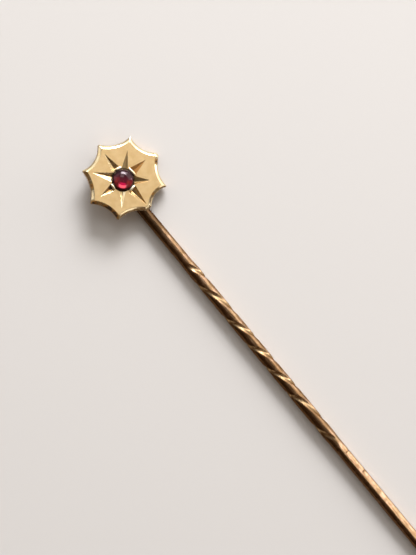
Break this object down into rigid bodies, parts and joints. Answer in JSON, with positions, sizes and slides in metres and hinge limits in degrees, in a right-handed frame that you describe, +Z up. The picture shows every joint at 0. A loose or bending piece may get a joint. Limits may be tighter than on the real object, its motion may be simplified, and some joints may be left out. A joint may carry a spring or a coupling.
{
  "type": "stick pin",
  "caption": "Slim gold stick pin: flat star head with bevelled, hollowed sides and engraved rays round a domed red stone, on a straight wire stem with a twisted stretch and a sharp point.",
  "frame": {"origin": "on the surface that the pin lies on, under the middle of its extents along X and Y", "axes": "+Z up, +Y along the stem from the point to the head, +X to the side on which the head leans down to the surface"},
  "size_m": [0.0078, 0.06, 0.0025],
  "materials": {
    "gold": "satin yellow gold, bright in the cuts and along the bevel",
    "rose_gold": "polished and toned rose gold wire, worn bright on the ridges",
    "garnet": "polished dark wine-red dome"
  },
  "bodies": {
    "root": {"gold_pin": "gold", "garnet": "garnet"}
  },
  "joints": []
}
